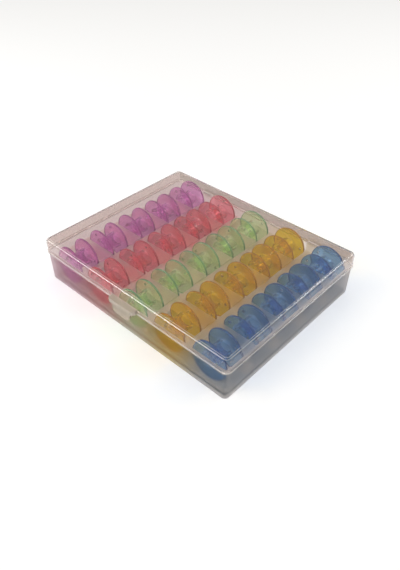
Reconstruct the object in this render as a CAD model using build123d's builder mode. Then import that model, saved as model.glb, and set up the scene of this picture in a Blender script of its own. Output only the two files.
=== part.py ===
from build123d import *
import os
from math import cos, radians, sin, tan

# A clear-lidded box that keeps sewing-machine bobbins upright in pockets, in millimetres.
# X runs across the colours, Y from the latch to the hinge, Z up. The origin is the centre
# of the underside.

# ---- the bobbins ----
colours = ["purple", "red", "green", "yellow", "blue"]  # one column each, from -X to +X
bobbins_per_colour = 5  # numbered from the latch to the hinge
bobbin_radius = 10.25
bobbin_width = 11.5
flange_wall = 1.1
flange_edge_radius = 0.35
hub_radius = 4.6
hub_root_radius = 0.7  # inner corner between the hub and a flange
spindle_radius = 3.1
spindle_chamfer = 0.4
thread_hole_radius = 0.75
thread_hole_reach = 7.6  # from the bobbin's axis
thread_hole_count = 2
column_turn = 37  # degrees that a bobbin is turned, more than the one in the column before
row_turn = 61  # the same from row to row

# ---- the tray ----
seat_gap = 0.3  # under a bobbin
pocket_side_gap = 0.35  # at each end of a bobbin's diameter, along X
pocket_face_gap = 0.35  # beside each flange, along Y
column_channel = 4.3  # sunken strip between two columns of pockets
row_land = 9.15  # land between two rows of pockets
left_margin = 2.6  # from the outer pockets to the tray's edge, at -X
right_margin = 1.0  # at +X
latch_margin = 1.75  # at -Y
hinge_margin = 0.75  # at +Y
tray_above_axis = 0.85  # top of the tray, above the bobbins' axes
strip_height = 0.8  # how far the strips that hold the pockets stand above the channels
tray_wall = 1.0
tray_corner_radius = 1.2
tray_fit = 0.2  # between the tray and the base's inside
cup_gap = 1.4  # under the pockets' cups

# ---- the base ----
base_floor = 1.6
base_setback = 0.7  # from the lid's bead in to the base's outer wall
base_draft = 0.6  # degrees, narrower towards the floor
base_foot_radius = 1.5  # outer edge around the underside
inside_radius = 0.8  # upright corners of the base's inside
collar_wall = 1.0
collar_height = 0.8  # the upstand inside the lid, above the shoulder
collar_clearance = 0.3  # between the upstand and the lid's side wall
seam_gap = 0.3  # between the lid's rim and the base's shoulder

# ---- the lid ----
rim_above_tray = 3.4  # the lid's lower edge, above the tray's top
head_gap = 1.3  # between the bobbins and the underside of the lid
lid_top_wall = 1.2
lid_side_wall = 1.0
lid_draft = 1.7  # degrees, narrower towards the top
lid_edge_radius = 2.0  # outer edge around the top face
lid_inside_radius = 1.3  # inner edge under the top face
bead_reach = 0.25  # how far the rim's bead stands out of the side wall
bead_height = 1.1

# ---- the latch ----
lip_width = 18.6
lip_overhang = 0.9  # how far the lip stands out over the tongue
lip_height = 2.6
lip_corner_radius = 2.4
lip_edge_radius = 0.6
tongue_play = 1.8  # between the tongue's root and the base's wall
tongue_width = 12.6
tongue_wall = 1.3
tongue_below = 4.5  # its lower edge, below the rim
tongue_overlap = 1.0  # how far its root runs up inside the lip
tongue_flare = 0.7  # how far its lower edge leans out from its root
tongue_bend = 0.25  # share of that reached halfway down
tongue_corner_radius = 2.6
catch_width = 9.0
catch_height = 0.8  # the same for the ridge inside the tongue
catch_bevel = 0.25
catch_below = 0.6  # its top, below the shoulder
catch_reach = 0.9  # out of the base's wall
ridge_gap = 0.1  # between the tongue's ridge and the catch above it, both ways

# ---- the hinges ----
hinge_spacing = 80.0  # between the two hinges' centres
hinge_drop = 2.3  # the pins' axis, below the rim
hinge_gap = 0.85  # between a knuckle and the base's wall
pin_radius = 1.4
pin_clearance = 0.05  # running fit, radial
knuckle_wall = 1.0
knuckle_width = 8.0
knuckle_mouth = 2.3  # the opening that snaps over the pin
arm_lean = radians(20)  # where the arm's top runs into the knuckle, from upright
arm_above = 1.1  # top of the arm that carries a knuckle, above the rim
ear_wall = 2.2
ear_around_pin = 0.9
ear_gap = 0.3  # beside the knuckle
ear_drop = 5.5  # foot of an ear's web, below the pin
ear_web_angle = radians(-35)  # where the web's lower edge leaves the ear's round end

# ---- the grid of pockets ----
columns = len(colours)
pocket_width = 2 * (bobbin_radius + pocket_side_gap)
pocket_depth = bobbin_width + 2 * pocket_face_gap
column_pitch = pocket_width + column_channel
row_pitch = pocket_depth + row_land
tray_width = (columns - 1) * column_pitch + pocket_width + left_margin + right_margin
tray_depth = (bobbins_per_colour - 1) * row_pitch + pocket_depth + latch_margin + hinge_margin
grid_x = (left_margin - right_margin) / 2
grid_y = (latch_margin - hinge_margin) / 2

# ---- walls, from the inside out ----
inside_width = tray_width + 2 * tray_fit
inside_depth = tray_depth + 2 * tray_fit
collar_width = inside_width + 2 * collar_wall
collar_depth = inside_depth + 2 * collar_wall
collar_radius = inside_radius + collar_wall
lid_inside_width = collar_width + 2 * collar_clearance
lid_inside_depth = collar_depth + 2 * collar_clearance
lid_inner_radius = collar_radius + collar_clearance
lid_side_width = lid_inside_width + 2 * lid_side_wall
lid_side_depth = lid_inside_depth + 2 * lid_side_wall
lid_side_radius = lid_inner_radius + lid_side_wall
lid_width = lid_side_width + 2 * bead_reach
lid_depth = lid_side_depth + 2 * bead_reach
lid_radius = lid_side_radius + bead_reach
base_width = lid_width - 2 * base_setback
base_depth = lid_depth - 2 * base_setback
base_radius = lid_radius - base_setback

# ---- levels, from the table up ----
cup_underside = base_floor + cup_gap
pocket_floor = cup_underside + tray_wall
bobbin_axis = pocket_floor + seat_gap + bobbin_radius
tray_top = bobbin_axis + tray_above_axis
channel_level = tray_top - strip_height
rim_level = tray_top + rim_above_tray
shoulder = rim_level - seam_gap
collar_top = shoulder + collar_height
lid_underside = bobbin_axis + bobbin_radius + head_gap
lid_top = lid_underside + lid_top_wall
base_taper = shoulder * tan(radians(base_draft))

# ---- latch and hinge positions ----
base_front = -base_depth / 2
base_back = base_depth / 2
catch_top = shoulder - catch_below
catch_face = base_front - catch_reach
ridge_top = catch_top - catch_height - ridge_gap
tongue_inner = base_front - tongue_play
tongue_face = tongue_inner - tongue_wall
lip_face = tongue_face - lip_overhang
lip_root = -lid_side_depth / 2 + lid_side_wall / 2
lip_back = lip_root + lip_corner_radius
tongue_foot = rim_level - tongue_below
tongue_root = rim_level + tongue_overlap
knuckle_radius = pin_radius + pin_clearance + knuckle_wall
ear_radius = pin_radius + ear_around_pin
hinge_y = base_back + hinge_gap + knuckle_radius
hinge_z = rim_level - hinge_drop
hinge_places = [-hinge_spacing / 2, hinge_spacing / 2]
ear_inner = knuckle_width / 2 + ear_gap

os.makedirs("parts", exist_ok=True)

# ---- base: the tub, its shoulder and upstand, the catch and the hinges' ears and pins ----
with BuildPart() as base:
    with BuildSketch() as underside:
        RectangleRounded(base_width - 2 * base_taper, base_depth - 2 * base_taper, base_radius)
    extrude(amount=shoulder, taper=-base_draft)
    fillet(base.edges().group_by(Axis.Z)[0], base_foot_radius)
    with BuildSketch(Plane.XY.offset(shoulder)) as collar:
        RectangleRounded(collar_width, collar_depth, collar_radius)
    extrude(amount=collar_height)
    with BuildSketch(Plane.XY.offset(base_floor)) as inside:
        RectangleRounded(inside_width, inside_depth, inside_radius)
    extrude(amount=collar_top - base_floor, mode=Mode.SUBTRACT)

    wall_middle = base_front + base_setback
    with BuildSketch(Plane.YZ.offset(-catch_width / 2)) as catch_section:
        with BuildLine():
            Polyline(
                (wall_middle, catch_top),
                (base_front, catch_top),
                (catch_face, catch_top - catch_bevel),
                (catch_face, catch_top - catch_height + catch_bevel),
                (base_front, catch_top - catch_height),
                (wall_middle, catch_top - catch_height),
                close=True,
            )
        make_face()
    extrude(amount=catch_width)

    web_end = (hinge_y + ear_radius * cos(ear_web_angle), hinge_z + ear_radius * sin(ear_web_angle))
    for hinge_x in hinge_places:
        for ear_x in (hinge_x - ear_inner - ear_wall, hinge_x + ear_inner):
            with BuildSketch(Plane.YZ.offset(ear_x)) as ear_section:
                with BuildLine():
                    Polyline(
                        (-wall_middle, hinge_z - ear_drop),
                        (base_back, hinge_z - ear_drop),
                        web_end,
                        (hinge_y, hinge_z),
                        (base_back, shoulder - seam_gap),
                        (-wall_middle, shoulder - seam_gap),
                        close=True,
                    )
                make_face()
                with Locations((hinge_y, hinge_z)):
                    Circle(ear_radius)
            extrude(amount=ear_wall)
        with BuildSketch(Plane.YZ.offset(hinge_x - ear_inner)) as pin_section:
            with Locations((hinge_y, hinge_z)):
                Circle(pin_radius)
        extrude(amount=2 * ear_inner)
base.part.label = "base"
export_step(base.part, "parts/base.step")

# ---- tray: an insert that stands on its skirt, with one pocket for each bobbin ----
with BuildPart() as tray:
    with BuildSketch(Plane.XY.offset(base_floor)) as tray_outline:
        RectangleRounded(tray_width, tray_depth, tray_corner_radius)
    extrude(amount=channel_level - base_floor)
    with BuildSketch(Plane.XY.offset(base_floor)) as hollow:
        Rectangle(tray_width - 2 * tray_wall, tray_depth - 2 * tray_wall)
    extrude(amount=channel_level - tray_wall - base_floor, mode=Mode.SUBTRACT)
    with BuildSketch(Plane.XY.offset(cup_underside)) as cups:
        with Locations((grid_x, grid_y)):
            with GridLocations(column_pitch, row_pitch, columns, bobbins_per_colour):
                Rectangle(pocket_width + 2 * tray_wall, pocket_depth + 2 * tray_wall)
        RectangleRounded(tray_width, tray_depth, tray_corner_radius, mode=Mode.INTERSECT)
    extrude(amount=channel_level - cup_underside)
    with BuildSketch(Plane.XY.offset(channel_level)) as strips:
        with Locations((grid_x, 0)):
            with GridLocations(column_pitch, 0, columns, 1):
                Rectangle(pocket_width, tray_depth - 2 * tray_corner_radius)
    extrude(amount=strip_height)
    with BuildSketch(Plane.XY.offset(pocket_floor)) as pockets:
        with Locations((grid_x, grid_y)):
            with GridLocations(column_pitch, row_pitch, columns, bobbins_per_colour):
                Rectangle(pocket_width, pocket_depth)
    extrude(amount=tray_top - pocket_floor, mode=Mode.SUBTRACT)
tray.part.label = "tray"
export_step(tray.part, "parts/tray.step")

# ---- tongue: the finger pull of the latch, curling outwards, joined to the lid below ----
with BuildPart() as tongue:
    with BuildSketch(Plane.YZ.offset(-tongue_width / 2)) as tongue_section:
        with BuildLine():
            tongue_middle = (tongue_root + tongue_foot) / 2
            foot_outer = tongue_face - tongue_flare
            foot_inner = tongue_inner - tongue_flare
            Line((tongue_inner, tongue_root), (tongue_face, tongue_root))
            ThreePointArc(
                (tongue_face, tongue_root),
                (tongue_face - tongue_bend * tongue_flare, tongue_middle),
                (foot_outer, tongue_foot),
            )
            Line((foot_outer, tongue_foot), (foot_inner, tongue_foot))
            ThreePointArc(
                (foot_inner, tongue_foot),
                (tongue_inner - tongue_bend * tongue_flare, tongue_middle),
                (tongue_inner, tongue_root),
            )
        make_face()
    extrude(amount=tongue_width)
    outline_top = tongue_root + tongue_corner_radius
    with BuildSketch(Plane.XZ.offset(-lip_root)) as tongue_outline:
        with Locations((0, (tongue_foot + outline_top) / 2)):
            RectangleRounded(tongue_width, outline_top - tongue_foot, tongue_corner_radius)
    extrude(amount=lip_root - foot_outer, mode=Mode.INTERSECT)

# ---- lip: the ledge on the rim that carries the tongue, its back half inside the lid's wall ----
with BuildPart() as lip:
    with BuildSketch(Plane.XY.offset(rim_level)) as lip_outline:
        with Locations((0, (lip_face + lip_back) / 2)):
            RectangleRounded(lip_width, lip_back - lip_face, lip_corner_radius)
    extrude(amount=lip_height)
    lip_levels = lip.edges().group_by(Axis.Z)
    fillet(lip_levels[0] + lip_levels[-1], lip_edge_radius)
    split(bisect_by=Plane.XZ.offset(-lip_root))

# ---- lid: a drafted shell with a bead around its rim, the latch and the hinges' knuckles ----
with BuildPart() as lid:
    with BuildSketch(Plane.XY.offset(rim_level)) as lid_outline:
        RectangleRounded(lid_side_width, lid_side_depth, lid_side_radius)
    extrude(amount=lid_top - rim_level, taper=lid_draft)
    fillet(lid.edges().group_by(Axis.Z)[-1], lid_edge_radius)
    with BuildSketch(Plane.XY.offset(rim_level)) as bead:
        RectangleRounded(lid_width, lid_depth, lid_radius)
    extrude(amount=bead_height)
    with BuildSketch(Plane.XY.offset(rim_level)) as lid_hollow:
        RectangleRounded(lid_inside_width, lid_inside_depth, lid_inner_radius)
    extrude(amount=lid_underside - rim_level, taper=lid_draft, mode=Mode.SUBTRACT)
    under_edges = lid.edges(Select.LAST).group_by(Axis.Z)[-1]
    fillet(under_edges, lid_inside_radius)

    # the latch: the lip on the rim, and the tongue below it
    add(lip.part)
    add(tongue.part)

    # the ridge inside the tongue, which sits under the base's catch
    with BuildSketch(Plane.YZ.offset(-catch_width / 2)) as ridge_section:
        with BuildLine():
            Polyline(
                (tongue_inner - tongue_wall / 2, ridge_top),
                (tongue_inner, ridge_top),
                (catch_face - ridge_gap, ridge_top - catch_bevel),
                (catch_face - ridge_gap, ridge_top - catch_height + catch_bevel),
                (tongue_inner, ridge_top - catch_height),
                (tongue_inner - tongue_wall / 2, ridge_top - catch_height),
                close=True,
            )
        make_face()
    extrude(amount=catch_width)

    # each arm reaches back over a pin and ends in an open knuckle
    knuckle_crown = (hinge_y + knuckle_radius * sin(arm_lean), hinge_z + knuckle_radius * cos(arm_lean))
    for hinge_x in hinge_places:
        with BuildSketch(Plane.YZ.offset(hinge_x - knuckle_width / 2)) as knuckle_section:
            with BuildLine():
                Polyline(
                    (-lip_root, rim_level),
                    (-lip_root, rim_level + arm_above),
                    (lid_depth / 2, rim_level + arm_above),
                    knuckle_crown,
                    (hinge_y, hinge_z),
                    (lid_depth / 2, rim_level),
                    close=True,
                )
            make_face()
            with Locations((hinge_y, hinge_z)):
                Circle(knuckle_radius)
                Circle(pin_radius + pin_clearance, mode=Mode.SUBTRACT)
            with Locations((hinge_y, hinge_z - knuckle_radius / 2)):
                Rectangle(knuckle_mouth, knuckle_radius, mode=Mode.SUBTRACT)
        extrude(amount=knuckle_width)
lid.part.label = "lid"
export_step(lid.part, "parts/lid.step")

# ---- bobbins: two flanges on a hollow hub, each lying across its pocket ----
for column, colour in enumerate(colours):
    for row in range(bobbins_per_colour):
        centre_x = grid_x + (column - (columns - 1) / 2) * column_pitch
        centre_y = grid_y + (row - (bobbins_per_colour - 1) / 2) * row_pitch
        centre = (centre_x, centre_y, bobbin_axis)
        half_width = bobbin_width / 2
        flange_inner = half_width - flange_wall
        with BuildPart() as bobbin:
            with BuildSketch(Plane(origin=centre, x_dir=(0, 1, 0), z_dir=(1, 0, 0))) as half_section:
                with BuildLine():
                    Polyline(
                        (-half_width, spindle_radius),
                        (-half_width, bobbin_radius),
                        (-flange_inner, bobbin_radius),
                        (-flange_inner, hub_radius),
                        (flange_inner, hub_radius),
                        (flange_inner, bobbin_radius),
                        (half_width, bobbin_radius),
                        (half_width, spindle_radius),
                        close=True,
                    )
                make_face()
                fillet(half_section.vertices().group_by(Axis.Y)[-1], flange_edge_radius)
                fillet(half_section.vertices().group_by(Axis.Y)[1], hub_root_radius)
                chamfer(half_section.vertices().group_by(Axis.Y)[0], spindle_chamfer)
            revolve(axis=Axis(centre, (0, 1, 0)))
            outer_face = (centre_x, centre_y - half_width, bobbin_axis)
            with BuildSketch(Plane(origin=outer_face, x_dir=(1, 0, 0), z_dir=(0, 1, 0))) as thread_holes:
                turn = column * column_turn + row * row_turn
                with PolarLocations(thread_hole_reach, thread_hole_count, start_angle=turn):
                    Circle(thread_hole_radius)
            extrude(amount=bobbin_width, mode=Mode.SUBTRACT)
        bobbin.part.label = f"bobbin_{colour}_{row + 1}"
        export_step(bobbin.part, f"parts/{bobbin.part.label}.step")
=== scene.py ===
import math

import bmesh
import bpy
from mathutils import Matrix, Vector


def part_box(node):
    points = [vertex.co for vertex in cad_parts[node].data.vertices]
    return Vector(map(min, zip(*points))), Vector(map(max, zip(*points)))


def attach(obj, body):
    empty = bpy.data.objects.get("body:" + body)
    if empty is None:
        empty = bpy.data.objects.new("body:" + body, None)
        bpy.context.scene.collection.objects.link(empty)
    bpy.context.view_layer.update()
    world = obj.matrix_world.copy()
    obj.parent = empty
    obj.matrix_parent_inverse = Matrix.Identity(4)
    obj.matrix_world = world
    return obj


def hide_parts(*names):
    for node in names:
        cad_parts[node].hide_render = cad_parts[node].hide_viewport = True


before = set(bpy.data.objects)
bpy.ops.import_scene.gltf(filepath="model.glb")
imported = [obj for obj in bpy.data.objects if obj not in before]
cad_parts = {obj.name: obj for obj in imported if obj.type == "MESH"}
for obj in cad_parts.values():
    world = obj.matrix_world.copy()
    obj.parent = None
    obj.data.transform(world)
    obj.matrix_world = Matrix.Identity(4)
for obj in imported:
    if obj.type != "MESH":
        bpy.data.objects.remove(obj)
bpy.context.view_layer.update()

mm = 0.001
print("frame loaded:", len(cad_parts), "nodes")


# camera: looks down on the corner between the latch side and +X

view = {
    "azimuth": 42.818,  # degrees, 0 looks along +Y
    "elevation": 40.487,
    "distance": 0.28782,
    "target": (0.01259, -0.01190, 0.0140),
    "lens": 34.573,  # mm, on a 36 mm long side
}


def makeCamera(values):
    azimuth, elevation = math.radians(values["azimuth"]), math.radians(values["elevation"])
    back = Vector((
        math.sin(azimuth) * math.cos(elevation),
        -math.cos(azimuth) * math.cos(elevation),
        math.sin(elevation),
    ))
    lens = bpy.data.cameras.new("viewCamera")
    lens.lens = values["lens"]
    lens.clip_start = 0.01
    lens.clip_end = 50.0
    camera = bpy.data.objects.new("viewCamera", lens)
    camera.location = Vector(values["target"]) + back * values["distance"]
    camera.rotation_mode = "QUATERNION"
    camera.rotation_quaternion = (-back).to_track_quat("-Z", "Y")
    bpy.context.scene.collection.objects.link(camera)
    bpy.context.scene.camera = camera


makeCamera(view)
print("camera placed")


# small helpers for node trees

def addNode(tree, kind, links=None, values=None, **settings):
    node = tree.nodes.new(kind)
    for name, value in settings.items():
        setattr(node, name, value)
    for name, value in (values or {}).items():
        node.inputs[name].default_value = value
    for name, source in (links or {}).items():
        tree.links.new(source, node.inputs[name])
    return node


def newGroup(name, inputs, outputs):  # colours are the inputs with four parts and the output Tint
    tree = bpy.data.node_groups.new(name, "ShaderNodeTree")
    tree.interface.new_socket("Vector", in_out="INPUT", socket_type="NodeSocketVector")
    for label, value in inputs.items():
        kind = "NodeSocketColor" if isinstance(value, tuple) else "NodeSocketFloat"
        tree.interface.new_socket(label, in_out="INPUT", socket_type=kind).default_value = value
    for label in outputs:
        kind = "NodeSocketColor" if label == "Tint" else "NodeSocketFloat"
        tree.interface.new_socket(label, in_out="OUTPUT", socket_type=kind)
    return tree, addNode(tree, "NodeGroupInput").outputs, addNode(tree, "NodeGroupOutput")


# shared effects

erodedMould = {"grain": 2500.0, "clouds": 60.0, "faintest": 0.3, "strongest": 0.7}


def makeFrost(values):  # the fine grain and slow clouding of an eroded mould
    tree, given, out = newGroup("frostedSkin", {"Grain": values["grain"], "Clouds": values["clouds"]},
                                ["Height", "Cloud"])
    grain = addNode(tree, "ShaderNodeTexNoise", {"Vector": given["Vector"], "Scale": given["Grain"]},
                    {"Detail": 2.0, "Roughness": 0.6})
    cloud = addNode(tree, "ShaderNodeTexNoise", {"Vector": given["Vector"], "Scale": given["Clouds"]},
                    {"Detail": 3.0, "Roughness": 0.55})
    spread = addNode(tree, "ShaderNodeMapRange", {"Value": cloud.outputs["Fac"]},
                     {"From Min": values["faintest"], "From Max": values["strongest"]})
    tree.links.new(grain.outputs["Fac"], out.inputs["Height"])
    tree.links.new(spread.outputs["Result"], out.inputs["Cloud"])
    return tree


handlingMarks = {
    "scale": 900.0,
    "faintest": 0.62,  # a higher value leaves fewer marks
    "strongest": 0.8,
    "directions": (0.5, 2.1),  # radians
    "narrowness": 0.03,  # of a mark, against its length
}


def makeHairlines(values):  # marks from handling, in two crossing directions
    tree, given, out = newGroup("hairlines", {"Scale": values["scale"], "Threshold": values["faintest"]},
                                ["Mask"])
    masks = []
    for turn in values["directions"]:
        turned = addNode(tree, "ShaderNodeMapping", {"Vector": given["Vector"]},
                         {"Rotation": (0.0, 0.0, turn), "Scale": (1.0, values["narrowness"], 1.0)})
        streak = addNode(tree, "ShaderNodeTexNoise", {"Vector": turned.outputs[0], "Scale": given["Scale"]},
                         {"Detail": 4.0, "Roughness": 0.7})
        line = addNode(tree, "ShaderNodeMapRange",
                       {"Value": streak.outputs["Fac"], "From Min": given["Threshold"]},
                       {"From Max": values["strongest"]})
        masks.append(line.outputs["Result"])
    both = addNode(tree, "ShaderNodeMath", {0: masks[0], 1: masks[1]}, operation="MAXIMUM")
    tree.links.new(both.outputs[0], out.inputs["Mask"])
    return tree


mouldFlow = {"scale": 90.0, "swirl": 0.6, "faintest": 0.35, "strongest": 0.7}


def makeFlow(values):  # the slight waviness that moulded clear plastic keeps
    tree, given, out = newGroup("mouldFlow", {"Scale": values["scale"]}, ["Height", "Haze"])
    wave = addNode(tree, "ShaderNodeTexNoise", {"Vector": given["Vector"], "Scale": given["Scale"]},
                   {"Detail": 1.0, "Roughness": 0.4, "Distortion": values["swirl"]})
    haze = addNode(tree, "ShaderNodeMapRange", {"Value": wave.outputs["Fac"]},
                   {"From Min": values["faintest"], "From Max": values["strongest"]})
    tree.links.new(wave.outputs["Fac"], out.inputs["Height"])
    tree.links.new(haze.outputs["Result"], out.inputs["Haze"])
    return tree


frost, hairlines, flow = makeFrost(erodedMould), makeHairlines(handlingMarks), makeFlow(mouldFlow)
print("shared effects built")


# materials

def newMaterial(name):
    material = bpy.data.materials.new(name)
    material.use_nodes = True
    tree = material.node_tree
    tree.nodes.clear()
    return material, tree, addNode(tree, "ShaderNodeTexCoord").outputs["Object"]


def mixColours(tree, factor, first, second):
    ends = {6: (*first, 1.0), 7: (*second, 1.0)}
    return addNode(tree, "ShaderNodeMix", {0: factor}, ends, data_type="RGBA").outputs[2]


def spreadValue(tree, factor, low, high):
    return addNode(tree, "ShaderNodeMapRange", {"Value": factor}, {"To Min": low, "To Max": high}).outputs[0]


def finishMaterial(tree, shader, passed):  # lamps shine through, tinted by what passes
    through = addNode(tree, "ShaderNodeBsdfTransparent", None, {"Color": (*passed, 1.0)})
    path = addNode(tree, "ShaderNodeLightPath")
    either = addNode(tree, "ShaderNodeMixShader", {
        0: path.outputs["Is Shadow Ray"], 1: shader.outputs[0], 2: through.outputs[0],
    })
    addNode(tree, "ShaderNodeOutputMaterial", {"Surface": either.outputs[0]})


def frostedPlastic(name, values):
    material, tree, place = newMaterial(name)
    skin = addNode(tree, "ShaderNodeGroup", {"Vector": place},
                   {"Grain": values["grain"], "Clouds": values["clouds"]}, node_tree=frost)
    bump = addNode(tree, "ShaderNodeBump", {"Height": skin.outputs["Height"]},
                   {"Strength": values["grainStrength"], "Distance": values["grainDepth"]})
    colour = mixColours(tree, skin.outputs["Cloud"], values["colour"], values["cloudColour"])
    # the bobbins' coloured light, painted into the plastic's colour
    if "bobbinLight" in values:
        picked = addNode(tree, "ShaderNodeGroup", {"Vector": place}, bobbinLightTints(values["bobbinLight"]),
                         node_tree=bobbinLight)
        tinted = addNode(tree, "ShaderNodeMix", {6: colour, 7: picked.outputs["Tint"]}, {0: 1.0},
                         data_type="RGBA", blend_type="MULTIPLY")
        colour = tinted.outputs[2]
    shader = addNode(tree, "ShaderNodeBsdfPrincipled", {
        "Base Color": colour,
        "Roughness": spreadValue(tree, skin.outputs["Cloud"], *values["roughness"]),
        "Normal": bump.outputs["Normal"],
    }, {"Transmission Weight": values["clearness"], "IOR": values["ior"]})
    finishMaterial(tree, shader, values["passed"])
    return material


def clearPlastic(name, values):
    material, tree, place = newMaterial(name)
    wave = addNode(tree, "ShaderNodeGroup", {"Vector": place}, {"Scale": values["waves"]}, node_tree=flow)
    marks = addNode(tree, "ShaderNodeGroup", {"Vector": place}, node_tree=hairlines)
    haze = spreadValue(tree, wave.outputs["Haze"], *values["roughness"])
    worn = addNode(tree, "ShaderNodeMath", {0: marks.outputs["Mask"], 2: haze},
                   {1: values["scratchRoughness"]}, operation="MULTIPLY_ADD")
    bump = addNode(tree, "ShaderNodeBump", {"Height": wave.outputs["Height"]},
                   {"Strength": values["waveStrength"], "Distance": values["waveDepth"]})
    shader = addNode(tree, "ShaderNodeBsdfPrincipled", {
        "Base Color": mixColours(tree, wave.outputs["Haze"], values["colour"], values["hazeColour"]),
        "Roughness": worn.outputs[0],
        "Normal": bump.outputs["Normal"],
    }, {"Transmission Weight": values["clearness"], "IOR": values["ior"],
        "Coat Weight": values["gloss"], "Coat Roughness": values["glossRoughness"]})
    finishMaterial(tree, shader, values["passed"])
    return material


baseInside = {
    "colour": (0.94, 0.92, 0.90),
    "cloudColour": (0.96, 0.94, 0.92),
    "roughness": (0.30, 0.36),
    "clearness": 1.0,
    "ior": 1.1,
    "grain": 2600.0,
    "grainStrength": 0.2,
    "grainDepth": 0.01 * mm,
    "clouds": 45.0,
    "passed": (0.92, 0.92, 0.92),
}
# the outer faces are darker than the plastic inside: painted shade
baseSkin = {
    **baseInside,  # the shares below: how strongly the light through each colour of bobbins is painted onto the plastic beside it
    "bobbinLight": {"purple": 0.38, "red": 0.38, "green": 0.38, "yellow": 0.38, "blue": 0.12},
    "colour": (0.535, 0.467, 0.447),
    "cloudColour": (0.565, 0.497, 0.477),
}
trayTop = {
    # painted coloured light from the bobbins, share by colour
    "bobbinLight": {"purple": 0.1, "red": 0.08, "green": 0.0, "yellow": 0.06, "blue": 0.3},
    "colour": (0.94, 0.83, 0.77),
    "cloudColour": (0.96, 0.86, 0.80),
    "roughness": (0.30, 0.36),
    "clearness": 0.90,
    "ior": 1.1,
    "grain": 2200.0,
    "grainStrength": 0.2,
    "grainDepth": 0.01 * mm,
    "clouds": 70.0,
    "passed": (0.92, 0.92, 0.92),
}
trayWall = {
    **trayTop,
    # painted coloured light from the bobbins, share by colour
    "bobbinLight": {"purple": 0.1, "red": 0.1, "green": 0.1, "yellow": 0.1, "blue": 0.05},
    "colour": (0.92, 0.90, 0.88),
    "cloudColour": (0.94, 0.92, 0.90),
    "clearness": 1.0,
}
lid = {
    "colour": (0.77, 0.69, 0.665),
    "hazeColour": (0.75, 0.67, 0.645),
    "roughness": (0.02, 0.05),
    "scratchRoughness": 0.12,
    "clearness": 0.985,
    "gloss": 0.0,
    "glossRoughness": 0.04,
    "waves": 35.0,
    "waveStrength": 0.3,
    "waveDepth": 0.02 * mm,
    "ior": 1.35,
    "passed": (1.0, 1.0, 1.0),
}
shadedLidBack = {  # the wall on the hinge side is painted darker, as painted shade
    **lid,
    "colour": (0.58, 0.53, 0.49),
    "hazeColour": (0.56, 0.51, 0.47),
}
edge = {  # the rim's bead and the rounded top edge, made pale as painted highlights
    "colour": (0.92, 0.86, 0.81),
    "cloudColour": (0.95, 0.90, 0.85),
    "roughness": (0.20, 0.30),
    "clearness": 0.6,
    "ior": 1.45,
    "grain": 900.0,
    "grainStrength": 0.2,
    "grainDepth": 0.02 * mm,
    "clouds": 120.0,
    "passed": (1.0, 1.0, 1.0),
}
latch = {
    "colour": (0.53, 0.46, 0.38),
    "cloudColour": (0.58, 0.51, 0.43),
    "roughness": (0.30, 0.40),
    "clearness": 0.55,
    "ior": 1.4,
    "grain": 1500.0,
    "grainStrength": 0.2,
    "grainDepth": 0.02 * mm,
    "clouds": 250.0,
    "passed": (0.9, 0.9, 0.9),
}
bobbin = {
    "passedByFlange": {  # the share of red, green and blue light that one flange lets through
        "purple": (0.84, 0.47, 0.81),
        "red": (0.94, 0.43, 0.50),
        "green": (0.76, 0.93, 0.63),
        "yellow": (0.88, 0.70, 0.05),
        "blue": (0.28, 0.54, 0.83),
    },
    "tint": 1.1,  # 1 is one flange's own tint, and more is deeper
    "hazeShade": 0.97,
    "roughness": (0.03, 0.07),
    "scratchRoughness": 0.1,
    "clearness": 0.95,
    "gloss": 0.0,
    "glossRoughness": 0.04,
    "waves": 160.0,
    "waveStrength": 0.3,
    "waveDepth": 0.01 * mm,
    "ior": 1.25,
}
bobbinHub = {  # the barrels and the insides of the holes are glossier
    **bobbin,
    "tint": 1.15,
    "roughness": (0.05, 0.10),
    "clearness": 0.85,
    "ior": 1.18,
    "gloss": 1.0,
}
bobbinRim = {  # the rims gather light, so they look deeper in colour and less clear
    **bobbin,
    "passedByFlange": {  # the same for a rim
        "purple": (0.45, 0.12, 0.40),
        "red": (0.62, 0.11, 0.16),
        "green": (0.22, 0.48, 0.28),
        "yellow": (0.58, 0.30, 0.02),
        "blue": (0.05, 0.15, 0.40),
    },
    "tint": 1.0,
    "roughness": (0.10, 0.16),
    "clearness": 0.45,
}


bobbinLightLimits = {
    "darkest": 0.12,  # no bobbin's tint counts as less than this
    "leftEnd": 0.5,  # how much of the first tint is left at the box's left end
}


def bobbinLightTints(shares):
    tints = {}
    for colourName, passed in bobbin["passedByFlange"].items():
        tints[colourName] = [max(part, bobbinLightLimits["darkest"]) ** shares[colourName] for part in passed]
    tints["leftEnd"] = [part ** bobbinLightLimits["leftEnd"] for part in tints["purple"]]
    return {label: (*tint, 1.0) for label, tint in tints.items()}


def makeBobbinLight():  # painted light: the frosted plastic takes the colour of the light through the bobbins beside it, column by column
    columns = bobbin["passedByFlange"].keys()
    white = (1.0, 1.0, 1.0, 1.0)
    tree, given, out = newGroup("paintedBobbinLight", dict.fromkeys(["leftEnd", *columns], white), ["Tint"])
    across = addNode(tree, "ShaderNodeSeparateXYZ", {0: given["Vector"]}).outputs["X"]
    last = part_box("base")[0][0]
    tint = given["leftEnd"]
    for colourName in columns:
        low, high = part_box("bobbin_" + colourName + "_1")
        middle = (low[0] + high[0]) / 2
        rise = addNode(tree, "ShaderNodeMapRange", {"Value": across}, {"From Min": last, "From Max": middle},
                       interpolation_type="SMOOTHSTEP")
        tint = addNode(tree, "ShaderNodeMix", {0: rise.outputs["Result"], 6: tint, 7: given[colourName]},
                       data_type="RGBA").outputs[2]
        last = middle
    tree.links.new(tint, out.inputs["Tint"])
    return tree


def bobbinPlastics(part, values):
    plastics = {}
    for colourName, passed in values["passedByFlange"].items():
        colour = [share ** values["tint"] for share in passed]
        plastics[colourName] = clearPlastic(colourName + part, {
            **values,
            "colour": colour,
            "hazeColour": [values["hazeShade"] * share for share in colour],
            "passed": [math.sqrt(share) for share in passed],  # at each of a flange's two faces
        })
    return plastics


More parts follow.
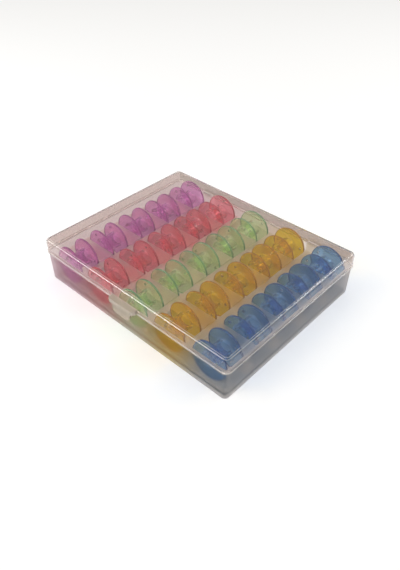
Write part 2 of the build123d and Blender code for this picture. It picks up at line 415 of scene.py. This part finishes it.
bobbinLight = makeBobbinLight()
baseInsidePlastic = frostedPlastic("baseInside", baseInside)
baseSkinPlastic = frostedPlastic("baseSkin", baseSkin)
trayTopPlastic = frostedPlastic("trayTop", trayTop)
trayWallPlastic = frostedPlastic("trayWall", trayWall)
lidPlastic = clearPlastic("clearLid", lid)
shadedLidBackPlastic = clearPlastic("shadedLidBack", shadedLidBack)
highlightEdgePlastic = frostedPlastic("paintedHighlightEdge", edge)
latchPlastic = frostedPlastic("milkyLatch", latch)
flangePlastics = bobbinPlastics("Flange", bobbin)
hubPlastics = bobbinPlastics("Hub", bobbinHub)
rimPlastics = bobbinPlastics("Rim", bobbinRim)
print("materials built")


# pieces

def smoothCopy(node, name, body, material, angle=35.0):
    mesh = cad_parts[node].data.copy()
    if "custom_normal" in mesh.attributes:  # these don't outlive the merge, so they are made anew below
        mesh.attributes.remove(mesh.attributes["custom_normal"])
    shape = bmesh.new()
    shape.from_mesh(mesh)
    bmesh.ops.remove_doubles(shape, verts=shape.verts, dist=0.001 * mm)
    for face in shape.faces:
        face.smooth = True
    shape.to_mesh(mesh)
    shape.free()
    mesh.set_sharp_from_angle(angle=math.radians(angle))
    mesh.materials.clear()
    mesh.materials.append(material)
    piece = bpy.data.objects.new(name, mesh)
    bpy.context.scene.collection.objects.link(piece)
    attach(piece, body)
    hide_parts(node)
    return piece


def paintFaces(piece, material, chosen):
    piece.data.materials.append(material)
    for face in piece.data.polygons:
        if chosen(face):
            face.material_index = len(piece.data.materials) - 1


baseParts = {
    "skinX": 64.4 * mm,  # from here outwards lie the outer faces of the walls
    "skinY": 51.0 * mm,
    "hingeY": 52.3 * mm,  # the hinges' ears and pins stand out beyond this
    "underside": 0.8 * mm,
    "shoulder": 18.45 * mm,
}
trayParts = {"upright": 0.5}  # a face is upright where its normal rises less than this
lidParts = {
    "beadTop": 19.95 * mm,
    "topRound": 2.1 * mm,  # height of the rounded edge around the top
    "lines": ((0.70, 0.83), (0.96, 0.992)),  # how steep the round is where it catches the light
    "latchFront": -52.9 * mm,  # all that stands in front of this is the latch
    "level": 0.99,  # a face is level where its normal rises more than this
    "back": 50.0 * mm,  # behind this, the faces that look straight forward or back are the back wall
    "facingBack": 0.9,
    "hingeBack": 52.9 * mm,  # and all behind this is the hinges' arms and knuckles
}
bobbinParts = {
    "rim": 0.972,  # of the radius
    "hub": 0.53,
    "holes": (0.65, 0.83),
    "flangeFace": 0.999,  # a flange's flat faces look along the axis at least as much as this
}
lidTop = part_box("lid")[1][2]


def isBaseSkin(face):  # the outside below the shoulder, and the underside, which carry the painted shade
    x, y, z = face.center
    outside = abs(x) > baseParts["skinX"] or baseParts["skinY"] < abs(y) < baseParts["hingeY"]
    return z < baseParts["underside"] or (outside and z < baseParts["shoulder"])


def isUpright(face):
    return abs(face.normal.z) < trayParts["upright"]


def isLidEdge(face):  # the rim's bead and two thin lines on the round around the top, which carry painted highlights
    onBead = face.center.z < lidParts["beadTop"] and abs(face.normal.z) < lidParts["level"]
    onRound = face.center.z > lidTop - lidParts["topRound"] and any(
        low < face.normal.z < high for low, high in lidParts["lines"])
    return onBead or onRound


def isLatch(face):
    return face.center.y < lidParts["latchFront"]


def isLidBack(face):
    return face.center.y > lidParts["back"] and abs(face.normal.y) > lidParts["facingBack"]


def isHinge(face):
    return face.center.y > lidParts["hingeBack"]


def isHub(face, reach):  # the barrel, its bore and the insides of the small holes
    onFlange = abs(face.normal.y) > bobbinParts["flangeFace"]
    inHole = bobbinParts["holes"][0] < reach < bobbinParts["holes"][1]
    return not onFlange and (reach < bobbinParts["hub"] or inHole)


def faceReach(node):  # how far a face lies from a bobbin's axis, as a share of the radius
    low, high = (Vector(corner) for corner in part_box(node))
    middle, radius = (low + high) / 2, (high.z - low.z) / 2
    return lambda face: math.hypot(face.center.x - middle.x, face.center.z - middle.z) / radius


frostedBase = smoothCopy("base", "frostedBase", "case", baseInsidePlastic)
# painted shade on the walls' outer faces below the shoulder and on the underside
paintFaces(frostedBase, baseSkinPlastic, isBaseSkin)
pocketTray = smoothCopy("tray", "pocketTray", "case", trayTopPlastic)
paintFaces(pocketTray, trayWallPlastic, isUpright)
clearLid = smoothCopy("lid", "clearLid", "lid", lidPlastic)
# painted shade on the lid's back wall
paintFaces(clearLid, shadedLidBackPlastic, isLidBack)
# painted highlights along the bead and the top's round
paintFaces(clearLid, highlightEdgePlastic, isLidEdge)
paintFaces(clearLid, latchPlastic, isLatch)
paintFaces(clearLid, baseInsidePlastic, isHinge)
for node in sorted(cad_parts):
    if node.startswith("bobbin_"):
        colourName = node.split("_")[1]
        body = smoothCopy(node, node + "_body", node, flangePlastics[colourName])
        reach = faceReach(node)
        paintFaces(body, rimPlastics[colourName], lambda face: reach(face) > bobbinParts["rim"])
        paintFaces(body, hubPlastics[colourName], lambda face: isHub(face, reach(face)))
print("pieces built")


# floor, lamps and world

stage = {
    "floorSize": 12.0,
    "floorColour": (0.72, 0.72, 0.72),
    "floorGlow": 0.40,  # makes the floor white where it is seen, and lights nothing
    "horizon": (0.57, 0.56, 0.53),
    "zenith": (0.49, 0.48, 0.46),
    "heights": (0.42, 0.62),  # where the horizon's colour ends and the zenith's begins
}
lamps = {
    "frontSoftbox": {"place": (-0.45, -0.55, 0.45), "aim": (0.0, 0.0, 0.0), "size": 0.4, "watts": 4.0},
    "backSoftbox": {"place": (0.35, 0.56, 0.50), "aim": (0.0, 0.0, 0.0), "size": 0.2, "watts": 1.5},
}


def seenDirectly(tree):  # 1 for what the camera sees, also through clear plastic and mirrored in it
    path = addNode(tree, "ShaderNodeLightPath")
    seen = path.outputs["Is Camera Ray"]
    for kind in ("Is Transmission Ray", "Is Glossy Ray"):
        either = addNode(tree, "ShaderNodeMath", {0: seen, 1: path.outputs[kind]}, operation="MAXIMUM")
        seen = either.outputs[0]
    return seen


def makeFloor(values):
    shape = bmesh.new()
    bmesh.ops.create_grid(shape, x_segments=1, y_segments=1, size=values["floorSize"] / 2)
    mesh = bpy.data.meshes.new("floor")
    shape.to_mesh(mesh)
    shape.free()
    floor = bpy.data.objects.new("floor", mesh)
    bpy.context.scene.collection.objects.link(floor)
    material, tree = newMaterial("floorPaper")[:2]
    paper = addNode(tree, "ShaderNodeBsdfDiffuse", None, {"Color": (*values["floorColour"], 1.0)})
    strength = addNode(tree, "ShaderNodeMath", {0: seenDirectly(tree)}, {1: values["floorGlow"]},
                       operation="MULTIPLY")
    glow = addNode(tree, "ShaderNodeEmission", {"Strength": strength.outputs[0]})
    both = addNode(tree, "ShaderNodeAddShader", {0: paper.outputs[0], 1: glow.outputs[0]})
    addNode(tree, "ShaderNodeOutputMaterial", {"Surface": both.outputs[0]})
    mesh.materials.append(material)


def makeWorld(values):
    world = bpy.data.worlds.new("studio")
    bpy.context.scene.world = world
    world.use_nodes = True
    tree = world.node_tree
    tree.nodes.clear()
    place = addNode(tree, "ShaderNodeTexCoord").outputs["Generated"]
    direction = addNode(tree, "ShaderNodeSeparateXYZ", {0: place})
    height = addNode(tree, "ShaderNodeMapRange", {"Value": direction.outputs["Z"]},
                     {"From Min": values["heights"][0], "From Max": values["heights"][1]},
                     interpolation_type="SMOOTHSTEP")
    sky = mixColours(tree, height.outputs["Result"], values["horizon"], values["zenith"])
    background = addNode(tree, "ShaderNodeBackground", {"Color": sky})
    addNode(tree, "ShaderNodeOutputWorld", {"Surface": background.outputs[0]})


def makeLamp(name, values):
    light = bpy.data.lights.new(name, "AREA")
    light.shape = "SQUARE"
    light.size = values["size"]
    light.energy = values["watts"]
    lamp = bpy.data.objects.new(name, light)
    lamp.location = values["place"]
    lamp.rotation_mode = "QUATERNION"
    lamp.rotation_quaternion = (Vector(values["aim"]) - Vector(values["place"])).to_track_quat("-Z", "Y")
    bpy.context.scene.collection.objects.link(lamp)


lightPaths = {"bounces": 24, "transparent": 32}  # enough for a look through lid, bobbins, tray and base

makeFloor(stage)
makeWorld(stage)
for lampName, values in lamps.items():
    makeLamp(lampName, values)
bpy.context.scene.view_settings.view_transform = "Standard"
bpy.context.scene.cycles.transparent_max_bounces = lightPaths["transparent"]
bpy.context.scene.cycles.max_bounces = lightPaths["bounces"]
bpy.context.scene.cycles.transmission_bounces = lightPaths["bounces"]
print("stage set")
